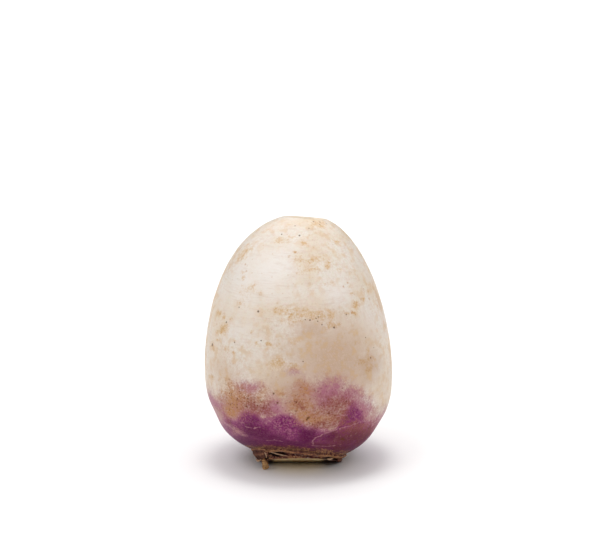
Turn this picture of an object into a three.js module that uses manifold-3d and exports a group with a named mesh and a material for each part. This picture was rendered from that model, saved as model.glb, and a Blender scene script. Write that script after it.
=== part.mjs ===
// A small purple-top turnip, standing upside down on its knife-cut crown with its trimmed tip up.
// Millimetres, +Z up. The root is shaped in the crown's frame: the crown's centre on the surface,
// -Y towards the side where the knife cut rises. The finished group is moved at the end so that
// its origin is the middle of its base.
import * as THREE from 'three';
import { mergeVertices } from 'three/addons/utils/BufferGeometryUtils.js';
import Module from 'manifold-3d';

const wasm = await Module();
wasm.setup();

// The root's outline: two superelliptic quarters that meet at its widest circle.
const WIDEST_RADIUS = 30.6;
const WIDEST_HEIGHT = 30.7;
const UPPER = { length: 50.45, along: 1.85, across: 2.23 };
const LOWER = { length: 31.2, along: 2.48, across: 2.26 };

// How the grown shape departs from a turned one.
const LEAN = 7;
const AXIS_WANDER = { size: 0.5, endsAt: 0.8 };
const TIP_SHIFT = { size: 1, startsAt: 0.8 };
const LOBES = [{ count: 2, size: 0.014 }, { count: 3, size: 0.01 }];
const FLATS = [
  { angle: -8, height: 12, depth: 0.8, wide: 22, tall: 5 },
  { angle: 184, height: 16, depth: 0.8, wide: 22, tall: 5 },
];
const FLATS_END_AT_RADIUS = 10;

// The neck: a corky ring of leaf scars between the skin and the cut crown, pushed up at the front.
const NECK_TOP_RADIUS = 15.3;
const NECK_RIM_RADIUS = 13;
const NECK_HEIGHT = 4;
const STUMP = { radius: 12.2, depth: 6 };
const NECK_LIFTS = [{ angle: -105, rise: 4.6, sharpness: 3 }, { angle: 90, rise: 1.4, sharpness: 2 }];
const LIFT_FADES_OVER = 24;

// The knife cuts: the tip, the front facet of the crown, and the flat that it rests on.
const TIP_CUT = { height: 80.2, tilt: 4.5 };
const FACET = { startY: -0.6, slope: 23 };
const RESTING_LEVEL = 0;
const CUTTING_BLOCK = 200;

// The gap that every loose piece keeps to the root.
const GAP = 0.3;

// How finely the surfaces are faceted.
const AROUND = 48;
const UPPER_ROWS = 17;
const LOWER_ROWS = 11;
const LEAF_GRID = { across: 10, up: 4 };
const STRAND = { curveSegments: 4, stepsPerPoint: 4 };

const { clamp, degToRad: radians } = THREE.MathUtils;

// Radius of the root's outline at a height along its axis.
function outlineRadius(height) {
  const upper = height > WIDEST_HEIGHT;
  const quarter = upper ? UPPER : LOWER;
  const share = clamp(Math.abs(height - WIDEST_HEIGHT) / quarter.length, 0, 1);
  return WIDEST_RADIUS * (1 - share ** quarter.along) ** (1 / quarter.across);
}

// Height along the axis at which the lower outline has a given radius.
function lowerHeightOf(radius) {
  const share = (1 - (radius / WIDEST_RADIUS) ** LOWER.across) ** (1 / LOWER.along);
  return WIDEST_HEIGHT - LOWER.length * share;
}

const NECK_TOP = lowerHeightOf(NECK_TOP_RADIUS);

// Radius of the neck ring at a height along the axis: a short cone.
function neckRadius(height) {
  const share = clamp((NECK_TOP - height) / NECK_HEIGHT, 0, 1);
  return THREE.MathUtils.lerp(NECK_TOP_RADIUS, NECK_RIM_RADIUS, share);
}

// How much a direction faces a given bearing: 1 straight at it, 0 straight away.
function facing(angle, bearing) {
  return (1 + Math.cos(angle - radians(bearing))) / 2;
}

// Where a point of the turned shape lies on the grown one: lobed and flattened across,
// lifted at the neck, carried by the wandering axis, then leaned back.
function place(radius, angle, height) {
  let across = radius;
  for (const lobe of LOBES) {
    across += radius * lobe.size * Math.sin(lobe.count * angle);
  }
  for (const flat of FLATS) {
    const turn = angle - radians(flat.angle);
    const aside = THREE.MathUtils.radToDeg(Math.atan2(Math.sin(turn), Math.cos(turn))) / flat.wide;
    const above = (height - flat.height) / flat.tall;
    const pull = flat.depth * clamp(radius / FLATS_END_AT_RADIUS, 0, 1);
    across -= pull * Math.exp(-aside * aside - above * above);
  }
  const share = clamp(height / TIP_CUT.height, 0, 1);
  const wander = AXIS_WANDER.size * Math.cos(Math.PI * share / AXIS_WANDER.endsAt);
  const nearTip = clamp((share - TIP_SHIFT.startsAt) / (1 - TIP_SHIFT.startsAt), 0, 1);
  const x = across * Math.cos(angle) + wander + TIP_SHIFT.size * nearTip ** 2;
  const y = across * Math.sin(angle);
  const fade = 1 - THREE.MathUtils.smoothstep(height, NECK_TOP, NECK_TOP + LIFT_FADES_OVER);
  let z = height;
  for (const lift of NECK_LIFTS) {
    z += fade * lift.rise * facing(angle, lift.angle) ** lift.sharpness;
  }
  const lean = radians(LEAN);
  return new THREE.Vector3(
    x,
    y * Math.cos(lean) + z * Math.sin(lean),
    z * Math.cos(lean) - y * Math.sin(lean),
  );
}

// A closed geometry as a solid that can be cut: corners merged, flat triangles at poles dropped.
function solidOf(geometry) {
  geometry.deleteAttribute('normal');
  geometry.deleteAttribute('uv');
  const merged = mergeVertices(geometry);
  const triangles = [];
  for (let i = 0; i < merged.index.count; i += 3) {
    const [a, b, c] = [0, 1, 2].map((corner) => merged.index.getX(i + corner));
    if (a !== b && b !== c && c !== a) triangles.push(a, b, c);
  }
  return new wasm.Manifold(new wasm.Mesh({
    numProp: 3,
    vertProperties: new Float32Array(merged.attributes.position.array),
    triVerts: new Uint32Array(triangles),
  }));
}

// Moves every vertex of a geometry to move(x, y, z).
function reshaped(geometry, move) {
  const position = geometry.attributes.position;
  for (let i = 0; i < position.count; i += 1) {
    const moved = move(position.getX(i), position.getY(i), position.getZ(i));
    position.setXYZ(i, moved.x, moved.y, moved.z);
  }
  return geometry;
}

// A big block whose top face passes through a point, turned about X and Y, to cut with.
function blockBelow(point, turnX, turnY) {
  const block = new THREE.BoxGeometry(CUTTING_BLOCK, CUTTING_BLOCK, CUTTING_BLOCK);
  block.translate(0, 0, -CUTTING_BLOCK / 2);
  block.rotateX(radians(turnX));
  block.rotateY(radians(turnY));
  block.translate(point.x, point.y, point.z);
  return solidOf(block);
}

// The cut root, or with margin > 0 the space that the loose pieces keep clear of.
function rootSolid(margin) {
  const profile = [
    new THREE.Vector2(0, NECK_TOP - STUMP.depth),
    new THREE.Vector2(STUMP.radius + margin, NECK_TOP - STUMP.depth),
    new THREE.Vector2(NECK_RIM_RADIUS + margin, NECK_TOP - NECK_HEIGHT),
  ];
  const start = Math.asin((WIDEST_HEIGHT - NECK_TOP) / LOWER.length);
  for (let row = 0; row < LOWER_ROWS; row += 1) {
    const height = WIDEST_HEIGHT - LOWER.length * Math.sin(start * (1 - row / LOWER_ROWS));
    profile.push(new THREE.Vector2(outlineRadius(height) + margin, height));
  }
  for (let row = 0; row < UPPER_ROWS; row += 1) {
    const height = WIDEST_HEIGHT + UPPER.length * Math.sin((Math.PI / 2) * (row / UPPER_ROWS));
    profile.push(new THREE.Vector2(outlineRadius(height) + margin, height));
  }
  profile.push(new THREE.Vector2(0, WIDEST_HEIGHT + UPPER.length + margin));
  const turned = new THREE.LatheGeometry(profile, AROUND);
  turned.rotateX(Math.PI / 2);
  const grown = reshaped(turned, (x, y, z) => place(Math.hypot(x, y), Math.atan2(y, x), z));
  const lean = radians(LEAN);
  const tip = new THREE.Vector3(0, TIP_CUT.height * Math.sin(lean), TIP_CUT.height * Math.cos(lean));
  const aboveTip = blockBelow(tip, 180 - LEAN, TIP_CUT.tilt);
  const underFacet = blockBelow(new THREE.Vector3(0, FACET.startY, -margin), -FACET.slope, 0);
  const underFloor = blockBelow(new THREE.Vector3(0, 0, RESTING_LEVEL - margin), 0, 0);
  return solidOf(grown).subtract(aboveTip).subtract(underFacet).subtract(underFloor);
}

const clearance = rootSolid(GAP);
const underSurface = blockBelow(new THREE.Vector3(0, 0, RESTING_LEVEL), 0, 0);

// A loose piece, trimmed to its gap round the root and to the surface that the turnip rests on.
function trimmed(solid) {
  return solid.subtract(clearance).subtract(underSurface);
}

// A dried leaf base: a plate that wraps round the neck. It thins to half at its two sides, and
// its foot stands out from the neck by its flare. Top and bottom are heights from the neck's top.
function leafBase({ angle, arc, top, bottom, thickness, flare }) {
  const plate = new THREE.BoxGeometry(1, 1, 1, LEAF_GRID.across, LEAF_GRID.up, 1);
  return solidOf(reshaped(plate, (across, up, out) => {
    const bearing = radians(angle + across * arc);
    const height = NECK_TOP + THREE.MathUtils.lerp(bottom, top, up + 0.5);
    const thin = 1 - 2 * across * across;
    const stand = (out + 0.5) * thickness * thin + flare * (0.5 - up) ** 2;
    return place(neckRadius(height) + stand, bearing, height);
  }));
}

// A torn strand of stalk fibre: a flat oval section carried along a curve through its points.
function strand(points, width, thickness) {
  const oval = new THREE.Shape();
  oval.absellipse(0, 0, width / 2, thickness / 2, 0, Math.PI * 2);
  const path = new THREE.CatmullRomCurve3(points.map((point) => new THREE.Vector3(...point)));
  const steps = STRAND.stepsPerPoint * (points.length - 1);
  const curveSegments = STRAND.curveSegments;
  const strip = { steps, curveSegments, bevelEnabled: false, extrudePath: path };
  return solidOf(new THREE.ExtrudeGeometry(oval, strip));
}

// A chip of leaf stalk: a rough upright outline, drawn from its foot, with an even thickness.
function stalkChip(outline, { thickness, x, y, turn }) {
  const shape = new THREE.Shape(outline.map(([across, up]) => new THREE.Vector2(across, up)));
  const chip = new THREE.ExtrudeGeometry(shape, { depth: thickness, bevelEnabled: false });
  chip.rotateX(Math.PI / 2);
  chip.rotateZ(radians(turn));
  chip.translate(x, y, RESTING_LEVEL);
  return solidOf(chip);
}

const SKIN = { color: 0xe3d3bd, roughness: 0.5 };
const DRIED_LEAF = { color: 0x8f6a48, roughness: 0.85 };
const STALK = { color: 0xb08a55, roughness: 0.85 };
const FIBRE = { color: 0xcdb48e, roughness: 0.85 };

const turnip = new THREE.Group();

// Adds one named piece with a finish of its own.
function add(name, solid, { color, roughness }) {
  const { vertProperties, triVerts } = solid.getMesh();
  const geometry = new THREE.BufferGeometry();
  geometry.setAttribute('position', new THREE.BufferAttribute(vertProperties, 3));
  geometry.setIndex(new THREE.BufferAttribute(triVerts, 1));
  geometry.computeVertexNormals();
  const material = new THREE.MeshStandardMaterial({ color, roughness, metalness: 0 });
  const mesh = new THREE.Mesh(geometry, material);
  mesh.name = name;
  turnip.add(mesh);
}

add('turnip_root', rootSolid(0), SKIN);

// Dried leaf bases round the neck.
const LEAF_BASES = {
  leaf_stub_left: { angle: 205, arc: 44, top: 0.6, bottom: -3.2, thickness: 1.3, flare: 0.5 },
  leaf_scale_front: { angle: -83, arc: 42, top: 0.3, bottom: -0.9, thickness: 0.9, flare: 0.4 },
  leaf_stub_right: { angle: -18, arc: 9, top: -0.8, bottom: -4.6, thickness: 1.2, flare: 0.2 },
  leaf_stub_back_1: { angle: 38, arc: 30, top: 0.4, bottom: -3.2, thickness: 1.1, flare: 0.5 },
  leaf_stub_back_2: { angle: 92, arc: 34, top: 0.6, bottom: -3.4, thickness: 1.2, flare: 0.4 },
  leaf_stub_back_3: { angle: 146, arc: 28, top: 0.3, bottom: -3.2, thickness: 1, flare: 0.6 },
};
for (const [name, sizes] of Object.entries(LEAF_BASES)) {
  add(name, trimmed(leafBase(sizes)), DRIED_LEAF);
}

// The chip of stalk at the left of the facet, which reaches down to the surface.
const CHIP_OUTLINE = [[-0.9, 0], [0.8, 0], [1.3, 1.2], [1.1, 2.4], [0.2, 3.4], [-1.2, 3], [-1.4, 1.6]];
const CHIP = { thickness: 1.4, x: -10.8, y: -8.2, turn: -40 };
add('stalk_chip', trimmed(stalkChip(CHIP_OUTLINE, CHIP)), STALK);

// Torn fibres, the papery curl under the left leaf base and the crumb in the gap at the right.
const FIBRES = {
  leaf_curl: {
    points: [[-13.9, -7.6, 3.3], [-13, -8.6, 3], [-12, -9.1, 3.4]],
    width: 0.6,
    thickness: 0.5,
  },
  fibre_fork: {
    points: [[-10.7, -12.1, 7], [-10.3, -12.2, 6.1], [-10.2, -12.1, 5.1]],
    width: 0.5,
    thickness: 0.4,
  },
  fibre_long: {
    points: [[-9.3, -13.2, 7.5], [-6.4, -14.4, 7.1], [-3.3, -15.2, 6.8]],
    width: 0.5,
    thickness: 0.4,
  },
  leaf_crumb: {
    points: [[9.3, -11.2, 4.4], [10.3, -10.6, 4.2], [11.2, -10, 4.4]],
    width: 0.9,
    thickness: 0.6,
  },
};
for (const [name, { points, width, thickness }] of Object.entries(FIBRES)) {
  add(name, trimmed(strand(points, width, thickness)), FIBRE);
}

// The origin goes to the middle of the base.
const box = new THREE.Box3().setFromObject(turnip);
const middle = box.getCenter(new THREE.Vector3());
turnip.position.set(-middle.x, -middle.y, -box.min.z);

export default turnip;
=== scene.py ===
"""A small purple-top turnip that stands upside down on its cut crown: the grown root, the dried
leaf bases round its neck, a chip of stalk and a few torn fibres, on a white table in soft light.

Sizes are in millimetres and degrees until a mesh is made, when they become metres. Bearings turn
from +X towards +Y, so the side that faces the camera is at -90.
"""

import itertools

import bpy
import numpy as np
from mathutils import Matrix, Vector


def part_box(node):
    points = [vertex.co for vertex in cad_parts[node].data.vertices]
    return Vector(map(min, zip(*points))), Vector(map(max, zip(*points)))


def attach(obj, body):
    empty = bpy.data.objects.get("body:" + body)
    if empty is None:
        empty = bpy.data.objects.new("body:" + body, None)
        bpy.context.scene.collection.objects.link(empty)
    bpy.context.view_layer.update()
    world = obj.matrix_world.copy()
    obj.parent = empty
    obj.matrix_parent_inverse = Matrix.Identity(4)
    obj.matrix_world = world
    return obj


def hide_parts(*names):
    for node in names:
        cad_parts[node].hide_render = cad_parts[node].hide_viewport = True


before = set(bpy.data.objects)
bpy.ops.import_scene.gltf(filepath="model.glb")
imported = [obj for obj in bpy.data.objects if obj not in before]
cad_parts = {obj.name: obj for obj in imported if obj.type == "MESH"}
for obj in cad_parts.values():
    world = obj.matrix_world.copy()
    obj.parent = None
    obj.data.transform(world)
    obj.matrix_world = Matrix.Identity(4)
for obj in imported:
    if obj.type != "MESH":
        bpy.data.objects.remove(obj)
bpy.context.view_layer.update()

# ---------------------------------------------------------------------------------------------
# The root, grown as one piece: white below the ground, purple where it stood in the light, with a
# corky neck where the leaves sat. A knife took off the root tip, and the crown in two cuts, so the
# turnip leans back on a half disc and a pale facet rises towards the front.

MM = 0.001

WIDEST_RADIUS = 30.6
WIDEST_HEIGHT = 30.7
UPPER = {"length": 50.45, "along": 1.85, "across": 2.23}
LOWER = {"length": 31.2, "along": 2.48, "across": 2.26}
LEAN = np.radians(7)
AXIS_WANDER = 0.5
WANDER_ENDS = 0.8
TIP_SHIFT = 1.0
SHIFT_STARTS = 0.8
# How many lobes run round the root, and how far they stand out as a share of the radius.
LOBES = [(2, 0.014), (3, 0.010)]
# Flattened places: bearing and height.
FLATS = [(-8, 12), (184, 16)]
FLAT_DEPTH = 0.8
FLAT_WIDE = 22
FLAT_TALL = 5
FLATS_END_AT_RADIUS = 10
NECK_TOP_RADIUS = 15.3
NECK_RIM_RADIUS = 13.0
NECK_HEIGHT = 4.0
# Where the neck is set higher on one side: bearing, rise, and how sharply it falls away.
NECK_LIFTS = [(-105, 4.6, 3), (90, 1.4, 2)]
LIFT_FADES_OVER = 24
TIP_HEIGHT = 80.2
TIP_TILT = np.radians(4.5)
FACET_START = -0.6
FACET_SLOPE = np.radians(23)
# Where the edges of the cuts are looked for: the crown's down to this depth below the skin's
# edge, and the tip's from this height up.
RIM_DEPTH_LIMIT = NECK_HEIGHT + 3
TIP_CUT_FROM = 60.0

COLUMNS = 384
BODY_ROWS = 182
NECK_ROWS = 34
CROWN_ROWS = 16
TIP_ROWS = 16


def ease(value, start, end):
    """0 before start, 1 after end, and a smooth cubic step between them."""
    share = np.clip((value - start) / (end - start), 0, 1)
    return share * share * (3 - 2 * share)


def ripple(points, size, seed):
    """Smooth random values from -1 to 1 over points, with lumps about size across: random values
    on a cubic lattice, blended by smooth weights between its corners."""
    lattice = np.random.default_rng(seed).uniform(-1, 1, (32, 32, 32))
    cell = np.asarray(points) / size
    low = np.floor(cell).astype(int)
    part = ease(cell - low, 0, 1)
    total = np.zeros(cell.shape[:-1])
    for corner in itertools.product((0, 1), repeat=3):
        at = (low + corner) % 32
        weight = np.prod(np.where(corner, part, 1 - part), axis=-1)
        total += weight * lattice[at[..., 0], at[..., 1], at[..., 2]]
    return total


def layered(points, layers):
    """Several ripples added up. Each layer has its height, the size of its lumps, how much they
    are squeezed along Z, and its seed."""
    return sum(rise * ripple(points * (1, 1, squeeze), size, seed)
               for rise, size, squeeze, seed in layers)


def outline_radius(height):
    """The root's radius at a height on its axis: two superelliptic quarters that meet at the
    widest circle."""
    above = np.clip((height - WIDEST_HEIGHT) / UPPER["length"], 0, 1)
    below = np.clip((WIDEST_HEIGHT - height) / LOWER["length"], 0, 1)
    upper = (1 - above ** UPPER["along"]) ** (1 / UPPER["across"])
    lower = (1 - below ** LOWER["along"]) ** (1 / LOWER["across"])
    return WIDEST_RADIUS * np.where(height > WIDEST_HEIGHT, upper, lower)


NECK_SHARE = (1 - (NECK_TOP_RADIUS / WIDEST_RADIUS) ** LOWER["across"]) ** (1 / LOWER["along"])
NECK_TOP = WIDEST_HEIGHT - LOWER["length"] * NECK_SHARE


def neck_radius(height):
    """The neck's radius: a cone that narrows from the skin's edge to the crown's rim."""
    share = np.clip((NECK_TOP - height) / NECK_HEIGHT, 0, 1)
    return NECK_TOP_RADIUS + (NECK_RIM_RADIUS - NECK_TOP_RADIUS) * share


def turn_from(bearing, towards):
    """The angle in degrees, from -180 to 180, from one bearing to another."""
    return (np.degrees(bearing) - towards + 180) % 360 - 180


def grown(radius, bearing, height):
    """Where a point of the turned shape lies on the grown root: lobed and flattened across,
    lifted at the neck, carried sideways by the wandering axis, and leaned back about X."""
    across = radius * (1 + sum(size * np.sin(count * bearing) for count, size in LOBES))
    for towards, level in FLATS:
        aside = turn_from(bearing, towards) / FLAT_WIDE
        above = (height - level) / FLAT_TALL
        pull = FLAT_DEPTH * np.clip(radius / FLATS_END_AT_RADIUS, 0, 1)
        across = across - pull * np.exp(-aside**2 - above**2)
    share = np.clip(height / TIP_HEIGHT, 0, 1)
    wander = AXIS_WANDER * np.cos(np.pi * share / WANDER_ENDS)
    shift = TIP_SHIFT * np.clip((share - SHIFT_STARTS) / (1 - SHIFT_STARTS), 0, 1) ** 2
    x = across * np.cos(bearing) + wander + shift
    y = across * np.sin(bearing)
    fade = 1 - ease(height, NECK_TOP, NECK_TOP + LIFT_FADES_OVER)
    z = height
    for towards, rise, sharpness in NECK_LIFTS:
        z = z + fade * rise * ((1 + np.cos(bearing - np.radians(towards))) / 2) ** sharpness
    back = y * np.cos(LEAN) + z * np.sin(LEAN)
    up = z * np.cos(LEAN) - y * np.sin(LEAN)
    return np.stack([x, back, up], -1)


def crossing(gap, low, high):
    """Where gap(value) turns from negative to positive between low and high, by halving."""
    halvings = 40
    for _ in range(halvings):
        middle = (low + high) / 2
        below = gap(middle) < 0
        low, high = np.where(below, middle, low), np.where(below, high, middle)
    return (low + high) / 2


def crown_cut_height(y):
    """Height of the cut crown: level behind, rising as the facet towards the front."""
    return np.maximum(0, (FACET_START - y) * np.tan(FACET_SLOPE))


# Hollows left in the neck where leaves were torn away: bearing, depth below the skin's edge,
# half width in degrees, half height, and how deep.
NECK_HOLLOWS = [
    (-121, 1.9, 11, 0.9, 1.5),
    (-148, 2.4, 9, 0.8, 1.2),
    (-40, 1.9, 12, 0.8, 1.4),
    (20, 1.6, 12, 0.8, 1.0),
    (62, 1.4, 10, 0.8, 1.0),
    (120, 1.5, 12, 0.8, 1.1),
    (170, 1.8, 8, 0.8, 0.9),
]
# The clean part of the cut crown: its middle and half width in X, how softly it ends, its ripples.
CUT_MIDDLE = -0.3
CUT_HALF = 7.9
CUT_FADE = 1
CUT_LAYERS = [(0.8, 1.2, 1, 81)]
# The lip and the groove round the neck, then its ripples: height, size, squeeze along Z and seed.
LIP = {"depth": 0.75, "half": 0.5, "out": 0.4}
GROOVE = {"depth": 1.75, "half": 0.35, "out": -0.6}
NECK_LAYERS = [(0.22, 1.5, 2.5, 12), (0.1, 0.6, 3, 13)]
NECK_DRIFT = [(0.35, 5, 1, 11)]
RELIEF_STARTS_OVER = 0.3


def neck_relief(bearing, depth, points):
    """How far the neck stands out: a corky lip under the skin, a groove below it, torn hollows,
    and fine cracked layers."""
    drift = layered(points, NECK_DRIFT)
    out = np.zeros_like(depth)
    for band in (LIP, GROOVE):
        out += band["out"] * np.exp(-(((depth - band["depth"] - drift) / band["half"]) ** 2))
    for towards, level, wide, tall, deep in NECK_HOLLOWS:
        aside = turn_from(bearing, towards) / wide
        out -= deep * np.exp(-(aside**4) - ((depth - level) / tall) ** 2)
    out += layered(points, NECK_LAYERS)
    return out * ease(depth, 0, RELIEF_STARTS_OVER)


# Lumps of the root, then of the cut tip: height, size, squeeze along Z and seed.
ROOT_LAYERS = [(0.14, 17, 1, 21), (0.05, 7, 2.5, 22), (0.018, 3.5, 5, 23)]
TIP_LAYERS = [(0.12, 1.2, 1, 31)]
LUMPS_START_OVER = 3
LUMPS_END_OVER = 0.6
# The step that the knife left in the tip: how deep, where it runs, and how its edge wavers.
TIP_STEP = {"deep": 0.45, "from": 4.6, "to": 5.2, "waver": [(0.4, 1.5, 1, 32)]}
TIP_CALM_SHARE = 0.25


def root_rings():
    """The root as rings from the middle of the crown to the middle of the tip: the flat and the
    facet, the neck up to the skin, the body up to the tip cut, and the cut itself. Each row holds
    its zone: crown, neck, body or tip."""
    bearing = np.linspace(-np.pi, np.pi, COLUMNS, endpoint=False) + np.pi / 2
    tip_middle = TIP_HEIGHT * np.array([0, np.sin(LEAN), np.cos(LEAN)])
    tip_up = np.array([
        np.sin(TIP_TILT) * np.cos(LEAN),
        np.sin(LEAN),
        np.cos(TIP_TILT) * np.cos(LEAN),
    ])

    def above_crown(depth):
        point = grown(neck_radius(NECK_TOP - depth), bearing, NECK_TOP - depth)
        return crown_cut_height(point[..., 1]) - point[..., 2]

    def above_tip(height):
        return (grown(outline_radius(height), bearing, height) - tip_middle) @ tip_up

    every = np.ones(COLUMNS)
    rim_depth = crossing(above_crown, 0 * every, RIM_DEPTH_LIMIT * every)
    top = WIDEST_HEIGHT + UPPER["length"]
    tip_height = crossing(above_tip, TIP_CUT_FROM * every, top * every)

    depth = rim_depth * (1 - np.linspace(0, 1, NECK_ROWS, endpoint=False)[:, None])
    smooth = grown(neck_radius(NECK_TOP - depth), bearing, NECK_TOP - depth)
    out = neck_relief(bearing[None] + 0 * depth, depth, smooth) * (1 - (depth / rim_depth) ** 8)
    neck = grown(neck_radius(NECK_TOP - depth) + out, bearing, NECK_TOP - depth)

    middle = np.array([0, FACET_START, 0])
    share = np.linspace(0, 1, CROWN_ROWS, endpoint=False)[1:, None, None]
    crown = middle + share * (neck[0] - middle)

    lowest = -np.arcsin((WIDEST_HEIGHT - NECK_TOP) / LOWER["length"])
    highest = np.arcsin((tip_height - WIDEST_HEIGHT) / UPPER["length"])
    angle = lowest + (highest - lowest) * np.linspace(0, 1, BODY_ROWS)[:, None]
    height = WIDEST_HEIGHT + np.where(angle > 0, UPPER["length"], LOWER["length"]) * np.sin(angle)
    smooth = grown(outline_radius(height), bearing, height)
    calm = ease(height, NECK_TOP, NECK_TOP + LUMPS_START_OVER)
    calm = calm * (1 - ease(height, tip_height - LUMPS_END_OVER, tip_height))
    lumps = calm * layered(smooth, ROOT_LAYERS)
    body = grown(outline_radius(height) + lumps, bearing, height)

    centre = body[-1].mean(0)
    share = 1 - np.linspace(0, 1, TIP_ROWS, endpoint=False)[1:, None, None]
    tip = centre + share * (body[-1] - centre)
    across = tip[..., 0] + layered(tip, TIP_STEP["waver"])
    step = TIP_STEP["deep"] * ease(across, TIP_STEP["from"], TIP_STEP["to"])
    rough = layered(tip, TIP_LAYERS) - step
    rough = rough * ease(1 - share[..., 0], 0, TIP_CALM_SHARE)
    tip = tip + rough[..., None] * tip_up

    rings = np.concatenate([crown, neck, body, tip])
    zone = np.repeat([0, 1, 2, 3], [len(crown), len(neck), len(body), len(tip)])
    crown_level = np.full(crown.shape[:2], NECK_TOP)
    tip_level = np.full(tip.shape[:2], TIP_HEIGHT)
    level = np.concatenate([crown_level, NECK_TOP - depth, height, tip_level])
    return rings, zone, level, bearing, middle, centre


def closed_mesh(name, rings, first, last):
    """A closed mesh from rings of points and the points that close its two ends: quads between
    neighbouring rings, a fan of triangles at each end. Millimetres become metres."""
    count, around = rings.shape[:2]
    points = np.concatenate([rings.reshape(-1, 3), [first], [last]]) * MM
    index = np.arange(count * around).reshape(count, around)
    beside = np.roll(index, -1, axis=1)
    quads = np.stack([index[:-1], beside[:-1], beside[1:], index[1:]], -1).reshape(-1, 4)
    start = np.stack([beside[0], index[0], np.full(around, count * around)], -1)
    end = np.stack([index[-1], beside[-1], np.full(around, count * around + 1)], -1)
    corners = np.concatenate([quads.ravel(), start.ravel(), end.ravel()])
    sizes = np.concatenate([np.full(len(quads), 4), np.full(2 * around, 3)])
    mesh = bpy.data.meshes.new(name)
    mesh.vertices.add(len(points))
    mesh.vertices.foreach_set("co", points.astype(np.float32).ravel())
    mesh.loops.add(len(corners))
    mesh.loops.foreach_set("vertex_index", corners.astype(np.int32))
    mesh.polygons.add(len(sizes))
    starts = np.cumsum(sizes) - sizes
    mesh.polygons.foreach_set("loop_start", starts.astype(np.int32))
    mesh.polygons.foreach_set("loop_total", sizes.astype(np.int32))
    mesh.polygons.foreach_set("use_smooth", np.ones(len(sizes), bool))
    mesh.update(calc_edges=True)
    mesh.validate()
    return mesh


def add_amount(mesh, name, rings_amount, first, last):
    """Stores how much of a finish each point has, ring by ring, with a value for each end."""
    values = np.concatenate([np.asarray(rings_amount, float).ravel(), [first, last]])
    mesh.attributes.new(name, "FLOAT", "POINT").data.foreach_set("value", values.astype(np.float32))


def add_piece(name, mesh, finish, slot, *nodes):
    """Puts a finished mesh in the scene as the piece that stands for its plain nodes."""
    piece = bpy.data.objects.new(name, mesh)
    bpy.context.scene.collection.objects.link(piece)
    mesh.materials.append(finish)
    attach(piece, "root")
    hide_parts(*nodes)


# Height up to which the skin is purple, at bearings round the root.
PURPLE_EDGE = {
    -180: 15, -165: 14, -155: 13.5, -148: 15, -140: 15, -135: 15.5, -130: 17.5, -126: 19,
    -121: 20, -116: 19.5, -112: 17.5, -108: 17.5, -104: 19, -99: 20, -94: 19.5, -90: 17.5,
    -87: 15.5, -84: 14.5, -79: 14, -73: 12.5, -67: 13, -64: 16, -61: 20, -57: 23, -53: 23,
    -49: 20.5, -45: 17, -40: 15.5, -30: 15, -20: 14, -8: 13, 0: 14, 30: 18, 60: 21, 90: 17,
    120: 22, 150: 21,
}
# Height up to which the skin is flushed with rose and brown, above the purple.
FLUSH_EDGE = {
    -180: 24, -165: 25, -155: 25, -147: 24, -141: 26, -134: 27.5, -126: 27.5, -118: 27.5,
    -112: 27, -107: 26, -101: 25.5, -95: 27, -89: 30.5, -82: 30, -75: 31, -68: 31, -62: 29,
    -56: 27, -50: 26, -45: 23.5, -38: 20, -28: 18.5, -15: 19, 0: 20, 30: 24, 60: 27, 90: 23,
    120: 29, 150: 27,
}
# Marks on the skin, here and below: bearing, height, half width, half height and strength.
DEEP_PURPLE = [
    (-122, 10, 7, 5.5, 1), (-112, 7.5, 6.5, 2.8, 0.9), (-120, 15.5, 5, 3, 0.55),
    (-138, 7, 7, 2.6, 0.7), (-84, 9.5, 3.8, 5.5, 1), (-98, 6, 7, 1.9, 0.9),
    (-57.5, 17.4, 2.6, 3.4, 0.35), (-67, 9.3, 5.5, 2.8, 0.85), (-56, 8.6, 4, 1.5, 1),
    (-46, 8.5, 13, 4.6, 0.85), (-28, 7.5, 9, 3.6, 0.85), (25, 11, 9, 5, 0.7), (80, 9, 7, 4, 0.8),
    (140, 12, 8, 6, 0.9),
]
LILAC = [
    (-59, 26, 6.5, 3.6, 0.75), (-103, 22, 3.6, 3.6, 1), (-110, 20.5, 3, 3.4, 0.85),
    (-120, 28.8, 6, 2.8, 0.8), (-93.5, 33.5, 3, 1.7, 0.5), (-71, 27.5, 7, 4, 0.85),
    (-75, 24.5, 3.4, 3, 0.9), (-54, 21.5, 5, 4.8, 0.9), (-44, 20, 4.4, 4.4, 0.75),
    (-151, 20.3, 4.6, 2.8, 0.85), (-146, 17, 3.6, 2.6, 0.8), (-161, 21, 6, 3.6, 1),
    (-168, 15, 5, 5, 0.95), (-136, 14.5, 4, 2.6, 0.6), (-128, 20.5, 3, 2, 0.5),
    (-38, 15.5, 5, 3.4, 0.7), (-26, 14.5, 5, 3.4, 0.85), (-14, 15, 5, 4, 0.7),
    (-61, 25, 4.4, 3.4, 0.9), (-90, 29, 4, 1.6, 0.3), (-80, 32, 9, 2.4, 0.25),
    (10, 18, 8, 4, 0.6), (55, 26, 7, 4, 0.6), (115, 27, 8, 4, 0.7), (160, 26, 7, 4, 0.6),
]
RUSSET = [
    (-132, 23.5, 6, 5.4, 1), (-137, 19.3, 4.4, 3, 1), (-125, 25.5, 5, 4, 0.85),
    (-119, 20.5, 4, 2.4, 0.5), (-131, 28, 3.4, 2, 0.5), (-113, 26, 4, 3, 0.7),
    (-88, 23.5, 4, 4.8, 0.9), (-85, 20, 4, 3.6, 0.9), (-81, 17.8, 5, 3, 0.9),
    (-72, 17.5, 5, 2.6, 0.75), (-66, 17.5, 3, 2, 0.4), (-87, 28.3, 4.4, 2.6, 0.65),
    (-99, 27.7, 3.4, 1, 0.5), (-51, 11.5, 6, 2.6, 0.4), (-40, 14, 5, 1.8, 0.35),
    (-142, 10.6, 4, 2.2, 0.35), (40, 19, 6, 4, 0.7), (98, 17, 8, 3, 0.8), (128, 24, 5, 5, 0.6),
    (172, 21, 4, 4, 0.5),
]
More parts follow.
